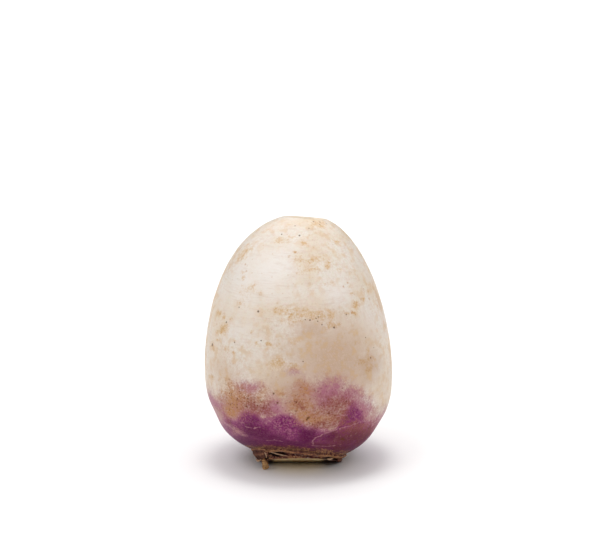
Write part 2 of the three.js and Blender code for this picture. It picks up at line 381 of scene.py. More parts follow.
RUST_RED = [
    (-118, 22.5, 5.5, 3.8, 0.85), (-121, 25.4, 3, 1.3, 0.6), (-112, 22, 4.4, 3.6, 0.85),
    (-124, 21, 4, 2.4, 0.6), (-68, 22.5, 6.5, 4.4, 1), (-66, 24.4, 3, 1.2, 1),
    (-63.5, 18.5, 3.8, 4, 0.95), (-74, 15.5, 6, 2.4, 0.85), (-67, 14.8, 5, 2.4, 0.95),
    (-88, 24, 2.4, 2.4, 0.55), (-87.5, 22.5, 1.4, 1.2, 0.9), (-45, 11, 12, 5.5, 1),
    (-28, 10, 9, 4.5, 0.9), (-57, 8.2, 6, 2.4, 1), (-50, 5.5, 6, 1.6, 1), (-60, 6, 8, 2, 0.8),
    (-53, 14.5, 6, 1.8, 0.8), (-55, 9, 3.4, 1.7, 1), (-146, 15.5, 3, 2.4, 0.5),
    (-152, 18.6, 4, 1.2, 0.4), (60, 15, 6, 5, 0.6), (105, 12, 6, 4, 0.6), (155, 17, 5, 4, 0.5),
]
# Paler pinkish places in the purple and the flush, then tan marks with painted reflection along
# both edges, whiter skin with a painted highlight, and beiger skin.
PALE = [
    (-147, 12.8, 2.2, 1.1, 1), (-144, 11.4, 2.4, 1.1, 1), (-141, 10.0, 2.4, 1.1, 1),
    (-137.5, 8.7, 2, 0.9, 0.9), (-148, 9, 3, 1, 0.7), (-153, 17, 2, 1.6, 0.7),
    (-97, 21.8, 1.8, 2, 0.8), (-156, 15.5, 3.4, 1.6, 0.6), (-132, 14, 2, 1.6, 0.5),
    (-150, 12, 4, 1, 0.5), (-107, 26.4, 2.4, 2, 0.6), (-33, 18, 4, 2.4, 0.6),
    (-17, 12, 3, 2, 0.5), (70, 20, 4, 2, 0.6), (135, 17, 4, 3, 0.6),
]
TAN_AND_RIM_REFLECTION = [
    (-88, 68, 3.6, 2.2, 0.6), (-80, 66.5, 4.4, 2.6, 0.65), (-71, 68.3, 4, 2, 0.6),
    (-64, 66.8, 3.4, 1.6, 0.5), (-86, 64.3, 3, 1.2, 0.5), (-53, 64.4, 2, 0.8, 0.6),
    (-92, 70.3, 1, 0.5, 0.9), (-109, 73.5, 3.4, 1.3, 0.65), (-98, 74.8, 2, 0.7, 0.6),
    (-83, 73, 1.8, 0.9, 1), (-74, 75.3, 1.6, 0.6, 0.4), (-43, 73, 3, 0.7, 0.9),
    (-147, 69, 3.4, 3.4, 0.6), (-156, 66, 2, 5, 0.45), (-137, 63.8, 1.8, 0.6, 0.7),
    (-134, 62.3, 1.2, 1, 0.7), (-127, 58.5, 4, 2.6, 0.5), (-117, 58, 2.4, 1.4, 0.4),
    (-130, 54, 5, 3, 0.35), (-153, 50.5, 3.4, 1.1, 0.95), (-145, 49, 2, 0.9, 0.85),
    (-138, 49, 1.6, 0.9, 0.8), (-143, 45.7, 3.4, 1.6, 1), (-150, 44.6, 2.4, 1, 0.8),
    (-157, 46.5, 2, 1, 0.7), (-156, 40, 2.6, 1.6, 0.9), (-148, 42.3, 1, 0.6, 0.9),
    (-138, 40, 4, 1.2, 0.6), (-131.5, 39.2, 0.9, 0.5, 0.9), (-131, 42.6, 1.1, 0.6, 0.8),
    (-115.5, 42.8, 1.2, 0.6, 0.95), (-107, 42.4, 1.3, 0.7, 0.95), (-102.3, 42, 0.7, 0.5, 0.8),
    (-119, 45.7, 4, 1.2, 0.4), (-100, 52.6, 5, 1.7, 0.6), (-95, 50.5, 3, 2.4, 0.7),
    (-84, 51.3, 5.5, 1.7, 0.85), (-74, 50.6, 4.4, 1.5, 0.75), (-68, 47.9, 2.6, 1.2, 0.95),
    (-63, 48.4, 1, 0.6, 0.9), (-56, 51.3, 2.4, 1.2, 0.7), (-49, 51.4, 1.6, 0.7, 0.95),
    (-45, 53.6, 1.9, 1.5, 0.85), (-36.5, 55, 1.3, 0.5, 1), (-29, 57.3, 2.6, 0.7, 0.75),
    (-21, 59, 3, 1, 0.7), (-48, 57, 0.9, 0.6, 0.9), (-48, 59.2, 2.2, 0.6, 0.6),
    (-68, 60.5, 3.4, 0.8, 0.55), (-11, 54, 4, 6, 0.85), (-9, 74, 3, 4, 0.6),
    (-50, 79, 4, 1.6, 0.75), (-101, 36.3, 3.4, 1.8, 0.95), (-94, 36, 2.6, 1.6, 0.7),
    (-100, 34.4, 1.4, 0.5, 0.8), (-45, 36.2, 5.5, 2.2, 0.8), (-40, 33.5, 4, 1.6, 0.6),
    (-52, 42.3, 4, 1, 0.5), (-44, 39.3, 2, 1, 0.5), (-155.5, 30, 2.8, 0.8, 1),
    (-144.5, 29.8, 0.9, 0.6, 0.9), (-139, 30.7, 0.9, 0.5, 0.8), (-127.3, 32.8, 1, 0.6, 0.9),
    # The tall marks at bearings -172, -6 and -4 are painted reflection: pinkish tan light along
    # both edges of the root as seen from the front.
    (-134, 34.5, 0.8, 0.4, 0.8), (-172, 56, 4, 16, 0.75), (-172, 36, 4, 9, 0.7),
    (-6, 36, 4, 12, 0.75), (-4, 62, 4, 12, 0.7), (15, 60, 5, 4, 0.5), (40, 45, 6, 3, 0.6),
    (75, 66, 5, 3, 0.6), (100, 40, 7, 2, 0.5), (130, 58, 5, 5, 0.5), (160, 44, 4, 3, 0.7),
    (178, 62, 3, 5, 0.4), (60, 33, 5, 3, 0.5), (120, 34, 4, 3, 0.5),
]
# Whiter skin. The places high on the front left, round bearing -112 and height 64, are also a
# painted highlight.
WHITE_SKIN_AND_HIGHLIGHT_PLACES = [
    (-112, 64, 10, 10, 1), (-130, 60, 10, 13, 0.9), (-128, 46, 9, 5, 0.7), (-100, 58, 9, 4, 0.6),
    (-60, 57, 8, 5, 0.8), (-35, 48, 7, 8, 0.6), (-150, 56, 5, 8, 0.6), (-58, 46.5, 6, 2.4, 0.5),
    (-115, 38, 8, 4, 0.4), (0, 60, 10, 9, 0.6), (50, 55, 12, 9, 0.8), (110, 62, 12, 8, 0.8),
    (150, 50, 10, 8, 0.6),
]
BEIGE_SKIN = [
    (-67, 36, 21, 17, 0.95), (-80, 46, 9, 6, 0.85), (-45, 34, 12, 9, 0.9), (-88, 29, 14, 8, 1),
    (-112, 28, 12, 6, 0.6), (-140, 32, 15, 9, 0.55), (-9, 50, 6, 12, 0.5), (20, 34, 16, 14, 0.7),
    (100, 30, 20, 12, 0.7), (165, 36, 14, 12, 0.6),
]
# Freckles, small round tan spots: bearing, height and radius.
FRECKLES = [
    (-97.5, 69, 0.4), (-92, 70.3, 0.4), (-39.5, 55.1, 0.5), (-51, 51.5, 0.5), (-132, 39.2, 0.35),
    (-146, 29.6, 0.35), (-150, 50.2, 0.4), (-145, 50.6, 0.4), (-152, 47, 0.4), (-137, 66, 0.35),
    (-133, 64, 0.35), (-54, 59.5, 0.4), (-49, 60.5, 0.35), (-33, 58, 0.4), (-29, 55, 0.4),
    (-87.5, 22.5, 0.6), (-121, 26, 0.5), (-118, 22, 0.4), (30, 55, 0.6), (62, 50, 0.6),
    (95, 60, 0.6), (140, 50, 0.7), (165, 55, 0.5), (115, 46, 0.5),
]
# Pin-sized dark pores where fine side roots broke off: bearing, height and radius.
PORES = [
    (-97, 78, 0.2), (-76, 77.3, 0.2), (-111, 75.5, 0.24), (-115.5, 52.2, 0.34), (-131, 53, 0.22),
    (-141, 48, 0.3), (-131, 42.2, 0.24), (-82, 49.8, 0.28), (-85, 50, 0.2), (-78, 50.3, 0.2),
    (-76.5, 50.7, 0.18), (-77, 49.4, 0.18), (-74.5, 48.3, 0.2), (-66.5, 47.3, 0.34),
    (-56, 51, 0.26), (-112, 43.4, 0.24), (-39.5, 36.8, 0.26), (-104.5, 27.2, 0.32),
    (-102.5, 24.2, 0.3), (-91.5, 24.5, 0.26), (-85, 18.3, 0.42), (-85.5, 17.6, 0.3),
    (-121, 25, 0.26), (-123, 22, 0.26), (-129, 24.5, 0.22), (-115, 22.8, 0.22), (-127, 27, 0.2),
    (-87, 37.3, 0.18), (-63.5, 28.4, 0.2), (-8, 26, 0.3), (-42, 43.3, 0.2), (-56, 9, 0.6),
    (-53.5, 8.6, 0.45), (-35, 39.8, 0.18), (-155.5, 40.1, 0.5), (-89, 75.2, 0.28),
    (-62, 79.2, 0.3), (-48, 79, 0.26), (-36, 78.4, 0.24), (-54, 78.2, 0.2), (20, 50, 0.3),
    (50, 62, 0.25), (85, 45, 0.3), (110, 55, 0.25), (150, 38, 0.3), (70, 28, 0.3),
    (172, 52, 0.25),
]
# Pale scratches in the purple: the bearings and heights that each one runs through.
SCRATCHES = [
    [(-78, 5.3), (-80, 7), (-78.5, 9), (-73, 11.2),
     (-66, 12.8), (-59, 13.9), (-52, 15), (-46, 15.6)],
    [(-79, 5.2), (-72, 5.4), (-65, 5.5), (-58, 6)],
    [(-129, 12.8), (-122, 12.3), (-117, 13)],
    [(-66, 18.6), (-62, 19), (-59, 18.8)],
    [(-118, 6.4), (-111, 6.9), (-104, 6.4)],
    [(60, 10), (72, 12), (85, 11)],
    [(130, 16), (140, 13)],
]


# How far ripples pull the edges of marks and bands about: height, size, squeeze along Z, seed.
PULL_ASIDE = [(1.1, 4.5, 1, 41), (0.45, 1.7, 1, 43)]
PULL_UP = [(1.1, 4.5, 1, 42), (0.45, 1.7, 1, 44)]
BAND_LAYERS = [(1.3, 5, 1, 51), (0.8, 2, 1, 52)]
FULL_PULL_FROM_HALF = 2
SOFTNESS = 0.9


def smudge(marks, bearing, height, points):
    """How strongly a list of marks covers each point, 0 to 1: an oval that fades from its middle,
    with its edge pulled about by ripples, less so on a small mark."""
    pull_aside = layered(points, PULL_ASIDE)
    pull_up = layered(points, PULL_UP)
    girth = np.radians(1) * outline_radius(height)
    cover = np.zeros_like(height)
    for towards, level, wide, tall, strength in marks:
        aside = turn_from(bearing, towards) * girth
        give = min(1, min(wide, tall) / FULL_PULL_FROM_HALF)
        across = (aside + give * pull_aside) / wide
        above = (height - level + give * pull_up) / tall
        cover = np.maximum(cover, strength * np.exp(-((across**2 + above**2) ** SOFTNESS)))
    return cover


def cover_below(edges, fade, bearing, height, points):
    """How strongly a colour covers the skin, 0 to 1: full well below an uneven edge, which is
    given by bearing, and fading out over fade millimetres each side of it."""
    towards = np.array(sorted(edges))
    edge = np.interp(turn_from(bearing, 0), towards, [edges[t] for t in towards], period=360)
    edge = edge + layered(points, BAND_LAYERS)
    return 1 - ease(height, edge - fade, edge + fade)


def new_finish(name, roughness):
    """A dry, non-metal finish. Gives back the material, its nodes and its surface shader."""
    finish = bpy.data.materials.new(name)
    finish.use_nodes = True
    shader = finish.node_tree.nodes["Principled BSDF"]
    shader.inputs["Roughness"].default_value = roughness
    return finish, finish.node_tree, shader


def feed(tree, socket, value):
    """Puts a number or a colour on a socket, or joins another node's output to it."""
    if isinstance(value, bpy.types.NodeSocket):
        tree.links.new(value, socket)
    elif isinstance(value, tuple):
        socket.default_value = (*value, 1)
    else:
        socket.default_value = value


def amount(tree, name):
    """The amount of a finish that is stored on the mesh under a name."""
    stored = tree.nodes.new("ShaderNodeAttribute")
    stored.attribute_name = name
    return stored.outputs["Fac"]


def grain(tree, size, detail=3.0, squeeze=(1, 1, 1)):
    """Noise from 0 to 1 in the piece's own space, with lumps about size millimetres across,
    squeezed along the axes."""
    place = tree.nodes.new("ShaderNodeTexCoord")
    mapping = tree.nodes.new("ShaderNodeMapping")
    mapping.inputs["Scale"].default_value = squeeze
    noise = tree.nodes.new("ShaderNodeTexNoise")
    noise.inputs["Scale"].default_value = 1 / (size * MM)
    noise.inputs["Detail"].default_value = detail
    tree.links.new(place.outputs["Object"], mapping.inputs["Vector"])
    tree.links.new(mapping.outputs["Vector"], noise.inputs["Vector"])
    return noise.outputs["Fac"]


def calc(tree, operation, first, second):
    """One sum of two numbers or outputs, by the name of the operation."""
    node = tree.nodes.new("ShaderNodeMath")
    node.operation = operation
    feed(tree, node.inputs[0], first)
    feed(tree, node.inputs[1], second)
    return node.outputs[0]


def place_calc(tree, operation, first, second):
    """One sum of two places or outputs, by the name of the operation. Gives back its outputs."""
    node = tree.nodes.new("ShaderNodeVectorMath")
    node.operation = operation
    feed(tree, node.inputs[0], first)
    feed(tree, node.inputs[1], second)
    return node.outputs


def between(tree, value, start, end, low=0.0, high=1.0):
    """low before start, high after end, and a smooth step between them."""
    node = tree.nodes.new("ShaderNodeMapRange")
    node.interpolation_type = "SMOOTHSTEP"
    feed(tree, node.inputs["Value"], value)
    limits = {"From Min": start, "From Max": end, "To Min": low, "To Max": high}
    for socket, number in limits.items():
        node.inputs[socket].default_value = number
    return node.outputs["Result"]


def stain(tree, under, over, cover):
    """A colour over another, by how much it covers."""
    node = tree.nodes.new("ShaderNodeMix")
    node.data_type = "RGBA"
    feed(tree, node.inputs[0], cover)
    feed(tree, node.inputs[6], under)
    feed(tree, node.inputs[7], over)
    return node.outputs[2]


def dents(tree, height, depth, under=None):
    """A bump in the shading: height from 0 to 1 over depth millimetres."""
    node = tree.nodes.new("ShaderNodeBump")
    node.inputs["Strength"].default_value = 1.0
    node.inputs["Distance"].default_value = depth * MM
    feed(tree, node.inputs["Height"], height)
    if under is not None:
        feed(tree, node.inputs["Normal"], under)
    return node.outputs["Normal"]


IVORY = (0.79, 0.72, 0.645)
CREAM = (0.76, 0.64, 0.505)
BEIGE = (0.545, 0.375, 0.268)
TAN_SKIN = (0.67, 0.435, 0.21)
PINKISH = (0.75, 0.60, 0.51)
GREENISH = (0.71, 0.65, 0.51)
# Whiter skin, which also serves as the colour of the painted highlight.
WHITE_SKIN_AND_HIGHLIGHT = (0.85, 0.795, 0.75)
BROWN = (0.46, 0.28, 0.165)
OCHRE = (0.47, 0.225, 0.09)
RUST = (0.28, 0.088, 0.07)
DARK_RUST = (0.15, 0.035, 0.045)
FRECKLE = (0.54, 0.29, 0.11)
FLUSH = (0.44, 0.235, 0.185)
LILAC_SKIN = (0.40, 0.135, 0.215)
PURPLE = (0.215, 0.030, 0.125)
DARK_PURPLE = (0.105, 0.004, 0.056)
PALE_ROSE = (0.50, 0.27, 0.26)
FLECK = (0.46, 0.22, 0.24)
DOT = (0.15, 0.05, 0.025)
PORE = (0.12, 0.04, 0.008)
CORK = (0.075, 0.014, 0.02)
CORK_TAN = (0.50, 0.255, 0.125)
# A near black brown used as painted shade in hollows and under the leaf lips.
PAINTED_SHADE_BROWN = (0.018, 0.006, 0.005)
FLESH = (0.80, 0.61, 0.33)
DRY_FLESH = (0.56, 0.37, 0.16)
# How much the skin shines where it is white, and where it is purple or corky.
SHINE_ON_WHITE = 0.26
SHINE_ON_PURPLE = 0.05


def wavering_place(tree, size, reach):
    """The place on the piece, pushed about by noise with lumps of this size, by up to half of
    reach millimetres each way, so that what is drawn from it looks uneven."""
    where = tree.nodes.new("ShaderNodeTexCoord").outputs["Object"]
    noise = tree.nodes.new("ShaderNodeTexNoise")
    noise.inputs["Scale"].default_value = 1 / (size * MM)
    tree.links.new(where, noise.inputs["Vector"])
    push = tree.nodes.new("ShaderNodeVectorMath")
    push.operation = "MULTIPLY_ADD"
    tree.links.new(noise.outputs["Color"], push.inputs[0])
    push.inputs[1].default_value = (reach * MM,) * 3
    tree.links.new(where, push.inputs[2])
    half = np.full(3, reach * MM / 2)
    return place_calc(tree, "SUBTRACT", push.outputs["Vector"], half)["Vector"]


def spots(tree, places, edge, waver):
    """1 in each round spot and 0 away from it, by the distance from its middle."""
    where = wavering_place(tree, 0.7, waver)
    cover = 0.0
    for place, radius in places:
        away = place_calc(tree, "DISTANCE", where, np.array(place))["Value"]
        spot = between(tree, away, 0.5 * radius * MM, edge * radius * MM, 1.0, 0.0)
        cover = calc(tree, "MAXIMUM", cover, spot)
    return cover


def dots(tree, spacing, radius, share):
    """Fine dots about spacing millimetres apart: the middles of Voronoi cells, of which only a
    share is kept, by the cell's own random value."""
    place = tree.nodes.new("ShaderNodeTexCoord")
    cells = tree.nodes.new("ShaderNodeTexVoronoi")
    cells.inputs["Scale"].default_value = 1 / (spacing * MM)
    tree.links.new(place.outputs["Object"], cells.inputs["Vector"])
    full, none = 0.5 * radius / spacing, 1.3 * radius / spacing
    dot = between(tree, cells.outputs["Distance"], full, none, 1.0, 0.0)
    chance = tree.nodes.new("ShaderNodeSeparateColor")
    tree.links.new(cells.outputs["Color"], chance.inputs["Color"])
    kept = calc(tree, "GREATER_THAN", chance.outputs["Red"], 1 - share)
    return calc(tree, "MULTIPLY", dot, kept)


def threads(tree, size, width, squeeze=(1, 1, 1)):
    """Fine pale threads: where noise with lumps of this size passes through its middle value."""
    from_middle = calc(tree, "SUBTRACT", grain(tree, size, 1.0, squeeze), 0.5)
    from_middle = calc(tree, "ABSOLUTE", from_middle, 0.0)
    return between(tree, from_middle, 0.0, width, 1.0, 0.0)


def scratch_lines(tree, lines, half_width):
    """1 on each scratch and 0 away from it: the distance to each straight stretch of the line,
    with its way along held between the ends. Ripples make the line waver."""
    where = wavering_place(tree, 1.2, 1.3)
    near = 1.0
    for line in lines:
        for start, end in zip(line[:-1], line[1:]):
            stretch = np.array(end) - np.array(start)
            from_start = place_calc(tree, "SUBTRACT", where, np.array(start))["Vector"]
            along = stretch / (stretch @ stretch)
            share = place_calc(tree, "DOT_PRODUCT", from_start, along)["Value"]
            share = calc(tree, "MAXIMUM", share, 0.0)
            share = calc(tree, "MINIMUM", share, 1.0)
            foot = tree.nodes.new("ShaderNodeVectorMath")
            foot.operation = "SCALE"
            foot.inputs[0].default_value = stretch
            tree.links.new(share, foot.inputs["Scale"])
            away = place_calc(tree, "DISTANCE", from_start, foot.outputs["Vector"])["Value"]
            near = calc(tree, "MINIMUM", near, away)
    return between(tree, near, 0.4 * half_width * MM, 1.4 * half_width * MM, 1.0, 0.0)


def skin_finish(pore_places, freckle_places, scratch_places):
    """Root skin: ivory, worn to tan and russet in blotches, with purple pigment under a mottled
    surface below, dark cork at the neck and pale flesh on the cuts. A thin waxy shine. Painted
    light
    is part of it: a painted highlight in the white high on the front left, painted reflection in
    tan along both edges, painted highlight in the tan of the neck's lip, and painted shade in its
    groove and hollows."""
    finish, tree, shader = new_finish("turnip_skin", 0.42)
    coarse = grain(tree, 12)
    middle = grain(tree, 2.6, 4)
    fine = grain(tree, 0.75, 3)
    other = grain(tree, 1.1, 3, (1, 1, 0.8))
    speckle = grain(tree, 0.42, 2)
    streaks = grain(tree, 4.5, 5, (1, 1, 8))

    def part(value, share):
        return calc(tree, "MULTIPLY", value, share)

    mottle = calc(tree, "ADD", part(fine, 0.5), part(speckle, 0.5))

    def ragged(name, reach, start, end):
        """An amount from the mesh, broken up by middle and fine grain wherever there is some."""
        here = amount(tree, name)
        wide = part(calc(tree, "SUBTRACT", middle, 0.5), 0.6 * reach)
        narrow = part(calc(tree, "SUBTRACT", mottle, 0.5), 1.4 * reach)
        rough = part(calc(tree, "ADD", wide, narrow), between(tree, here, 0.0, 0.35))
        return between(tree, calc(tree, "ADD", here, rough), start, end)

    # The pale skin: ivory and cream in clouds, warmer low down, fine mottling and growth lines.
    colour = stain(tree, CREAM, IVORY, between(tree, coarse, 0.36, 0.62))
    colour = stain(tree, colour, PINKISH, between(tree, other, 0.45, 0.66, 0.0, 0.6))
    colour = stain(tree, colour, GREENISH, between(tree, fine, 0.5, 0.66, 0.0, 0.5))
    colour = stain(tree, colour, BEIGE, between(tree, speckle, 0.52, 0.7, 0.0, 0.25))
    # Whiter skin, with a painted highlight high on the front left.
    white_and_highlight = ragged("white_and_highlight", 0.6, 0.0, 1.1)
    colour = stain(tree, colour, WHITE_SKIN_AND_HIGHLIGHT, part(white_and_highlight, 0.85))
    warm = ragged("beige", 0.5, 0.0, 1.05)
    beige = stain(tree, BEIGE, PINKISH, between(tree, mottle, 0.47, 0.6, 0.0, 0.3))
    beige = stain(tree, beige, BROWN, between(tree, middle, 0.46, 0.66, 0.0, 0.3))
    colour = stain(tree, colour, beige, part(warm, 0.95))
    tanned = between(tree, middle, 0.48, 0.68, 0.0, 0.5)
    tanned = part(tanned, between(tree, white_and_highlight, 0.0, 0.8, 0.9, 0.2))
    colour = stain(tree, colour, TAN_SKIN, tanned)
    colour = stain(tree, colour, BEIGE, between(tree, streaks, 0.5, 0.74, 0.0, 0.2))
    # Tan marks, with painted reflection along both edges of the root.
    tan = stain(tree, TAN_SKIN, BROWN, part(warm, 0.8))
    colour = stain(tree, colour, tan, part(ragged("tan", 1.5, 0.15, 1.0), 0.8))
    colour = stain(tree, colour, FRECKLE, part(ragged("tan", 3.2, 0.75, 1.5), 0.55))
    colour = stain(tree, colour, FRECKLE, part(dots(tree, 1.6, 0.26, 0.35), 0.3))
    freckles = spots(tree, freckle_places, 1.5, 0.9)
    freckles = part(freckles, between(tree, fine, 0.35, 0.6, 0.2, 0.7))
    colour = stain(tree, colour, FRECKLE, freckles)

    # The pigment: rose and brown where it is thin, then lilac, purple, and dark where it is deep.
    flush = ragged("flush", 0.85, 0.0, 1.1)
    thin = stain(tree, FLUSH, LILAC_SKIN, between(tree, other, 0.4, 0.65, 0.0, 0.4))
    colour = stain(tree, colour, thin, part(flush, between(tree, coarse, 0.35, 0.6, 0.7, 0.95)))
    cover = ragged("purple", 1.1, 0.0, 1.0)
    lilac = ragged("lilac", 1.1, 0.0, 1.0)
    lilac = calc(tree, "MAXIMUM", between(tree, cover, 0.0, 0.45), lilac)
    colour = stain(tree, colour, LILAC_SKIN, part(lilac, 0.85))
    depth = ragged("deep", 0.9, 0.05, 0.85)
    shallow = calc(tree, "SUBTRACT", 1.0, part(depth, 0.75))
    pigment = stain(tree, PURPLE, DARK_PURPLE, depth)
    paler = part(between(tree, mottle, 0.46, 0.6, 0.0, 0.85), shallow)
    pigment = stain(tree, pigment, LILAC_SKIN, paler)
    pigment = stain(tree, pigment, DARK_PURPLE, between(tree, other, 0.5, 0.66, 0.0, 0.6))
    net = part(threads(tree, 1.6, 0.03), between(tree, middle, 0.45, 0.65))
    wide_net = part(threads(tree, 2.2, 0.02), between(tree, other, 0.45, 0.65))
    net = calc(tree, "MAXIMUM", net, wide_net)
    pigment = stain(tree, pigment, FLECK, part(part(net, 0.5), shallow))
    pigment = stain(tree, pigment, FLECK, part(dots(tree, 0.9, 0.15, 0.3), 0.6))
    colour = stain(tree, colour, pigment, between(tree, cover, 0.25, 0.9))

    # Worn and rubbed places over it, with fine dark dots, then scratches and pores.
    rust = ragged("rust", 1.3, 0.05, 1.0)
    russet = ragged("russet", 1.3, 0.05, 1.0)
    ochre_cover = part(russet, between(tree, mottle, 0.42, 0.58, 0.6, 0.9))
    colour = stain(tree, colour, OCHRE, ochre_cover)
    rust_tone = stain(tree, RUST, DARK_RUST, depth)
    rust_cover = part(rust, between(tree, mottle, 0.42, 0.58, 0.58, 0.95))
    colour = stain(tree, colour, rust_tone, rust_cover)
    colour = stain(tree, colour, PALE_ROSE, part(ragged("pale", 1.2, 0.1, 1.0), 0.6))
    worn = calc(tree, "MAXIMUM", rust, russet)
    small_dots = part(dots(tree, 0.9, 0.24, 0.55), calc(tree, "MAXIMUM", worn, part(flush, 0.6)))
    colour = stain(tree, colour, DOT, part(small_dots, 0.8))
    big_dots = part(dots(tree, 1.9, 0.42, 0.5), worn)
    colour = stain(tree, colour, DOT, part(big_dots, 0.75))
    colour = stain(tree, colour, FLECK, part(part(net, worn), 0.35))
    scratches = scratch_lines(tree, scratch_places, 0.26)
    colour = stain(tree, colour, FLECK, part(scratches, between(tree, fine, 0.35, 0.6, 0.3, 0.8)))
    colour = stain(tree, colour, PORE, part(spots(tree, pore_places, 1.5, 0.3), 0.85))

    # The corky neck, with painted shade in its groove and torn hollows and a tan lip that is partly
    # painted highlight, and the flesh on the cuts.
    grains = between(tree, grain(tree, 0.55, 4, (1, 1, 1.6)), 0.47, 0.58)
    cork = stain(tree, CORK, CORK_TAN, part(grains, between(tree, middle, 0.4, 0.6, 0.35, 1.0)))
    # The tan lip under the skin's edge: corky tan, partly a painted highlight.
    cork = stain(tree, cork, CORK_TAN, part(ragged("lip_tan_and_highlight", 1.4, 0.4, 1.1), 0.7))
    # Painted shade in the neck's groove and torn hollows, and on the crown cut beyond its clean
    # flesh.
    cork = stain(tree, cork, PAINTED_SHADE_BROWN, ragged("painted_shade_in_hollows", 0.4, 0.1, 0.9))
    colour = stain(tree, colour, cork, ragged("cork", 1.8, 0.3, 0.8))
    flesh = stain(tree, FLESH, DRY_FLESH, between(tree, middle, 0.42, 0.66, 0.0, 0.6))
    colour = stain(tree, colour, flesh, amount(tree, "flesh"))
    feed(tree, shader.inputs["Base Color"], colour)
    dull = calc(tree, "MAXIMUM", part(flush, 0.6), amount(tree, "cork"))
    dull = calc(tree, "MAXIMUM", cover, dull)
    shine = between(tree, dull, 0.0, 0.7, SHINE_ON_WHITE, SHINE_ON_PURPLE)
    surface = dents(tree, streaks, 0.04)
    surface = dents(tree, middle, 0.05, surface)
    surface = dents(tree, speckle, 0.025, surface)
    feed(tree, shader.inputs["Normal"], surface)
    feed(tree, shader.inputs["Roughness"], between(tree, worn, 0.0, 1.0, 0.38, 0.58))
    shader.inputs["Subsurface Weight"].default_value = 0.1
    shader.inputs["Subsurface Radius"].default_value = (1.0, 0.45, 0.25)
    shader.inputs["Subsurface Scale"].default_value = 1.2 * MM
    feed(tree, shader.inputs["Specular IOR Level"], shine)
    return finish


rings, zone, level, bearing, crown_middle, tip_middle = root_rings()
around = np.broadcast_to(bearing, level.shape)
root_low, root_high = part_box("turnip_root")
flat = rings.reshape(-1, 3)
SET_DOWN = np.array((root_low + root_high) / 2) / MM - (flat.min(0) + flat.max(0)) / 2
SET_DOWN[2] = root_low.z / MM
ends = (crown_middle + SET_DOWN, tip_middle + SET_DOWN)
root_mesh = closed_mesh("turnip", rings + SET_DOWN, *ends)

# How much of each finish there is at every point of the root, 0 to 1.
PURPLE_FADE = 4.2
FLUSH_FADE = 6
on_skin = (zone == 2)[:, None]
depth = NECK_TOP - level
# Painted shade: the neck is darkened where it is sunk, in its groove and torn hollows.
torn = ease(-neck_relief(around, np.maximum(depth, 0), rings), 0.25, 0.9) * (zone == 1)[:, None]
from_cut = np.abs(rings[..., 0] - CUT_MIDDLE) + layered(rings, CUT_LAYERS)
clean_cut = 1 - ease(from_cut, CUT_HALF - CUT_FADE, CUT_HALF + CUT_FADE)
crown_cut = (zone == 0)[:, None]
warm_below = 0.35 * (1 - ease(level, 24, 64))
cork_on_skin = 1 - ease(level, NECK_TOP + 0.2, NECK_TOP + 3.4)
amounts = {
    "purple": cover_below(PURPLE_EDGE, PURPLE_FADE, around, level, rings) * on_skin,
    "flush": cover_below(FLUSH_EDGE, FLUSH_FADE, around, level, rings) * on_skin,
    "deep": np.maximum(smudge(DEEP_PURPLE, around, level, rings), 1 - ease(level, 5, 9)),
    "lilac": smudge(LILAC, around, level, rings),
    "russet": smudge(RUSSET, around, level, rings) * on_skin,
    "rust": smudge(RUST_RED, around, level, rings) * on_skin,
    "tan": smudge(TAN_AND_RIM_REFLECTION, around, level, rings) * on_skin,
    "pale": smudge(PALE, around, level, rings) * on_skin,
    "white_and_highlight": smudge(WHITE_SKIN_AND_HIGHLIGHT_PLACES, around, level, rings) * on_skin,
    "beige": np.maximum(smudge(BEIGE_SKIN, around, level, rings), warm_below),
    "cork": np.where(on_skin, cork_on_skin, 1) * (zone < 3)[:, None],
    # The lip under the skin's edge: tan cork, partly a painted highlight.
    "lip_tan_and_highlight": np.exp(-(((depth - LIP["depth"]) / 0.6) ** 2)),
    # Painted shade in the sunk parts of the neck and at the ends of the crown cut.
    "painted_shade_in_hollows": np.where(crown_cut, 0.55 * (1 - clean_cut), torn),
    "flesh": np.where(crown_cut, clean_cut, 0.22) * ((zone == 0) | (zone == 3))[:, None],
}
for name, values in amounts.items():
    on_cut = 1.0 if name == "flesh" else 0.0
    add_amount(root_mesh, name, values, on_cut, on_cut)


def skin_point(towards, height):
    """The place on the skin at a bearing in degrees and a height, in metres."""
    height = np.array(float(height))
    return tuple((grown(outline_radius(height), np.radians(towards), height) + SET_DOWN) * MM)


pore_places = [(skin_point(towards, height), radius) for towards, height, radius in PORES]
freckle_places = [(skin_point(towards, height), radius) for towards, height, radius in FRECKLES]
scratch_places = [[skin_point(*point) for point in line] for line in SCRATCHES]
skin = skin_finish(pore_places, freckle_places, scratch_places)
add_piece("turnip", root_mesh, skin, "skin", "turnip_root")

# ---------------------------------------------------------------------------------------------
# The dried leaf bases. When the leaves were cut off, their broad feet stayed on the neck and dried
# to brown ridged plates, each with a tan lip at the top and a torn lower edge. The tan on the lips
# and ridges is partly a painted highlight, and the near black below them is painted shade.

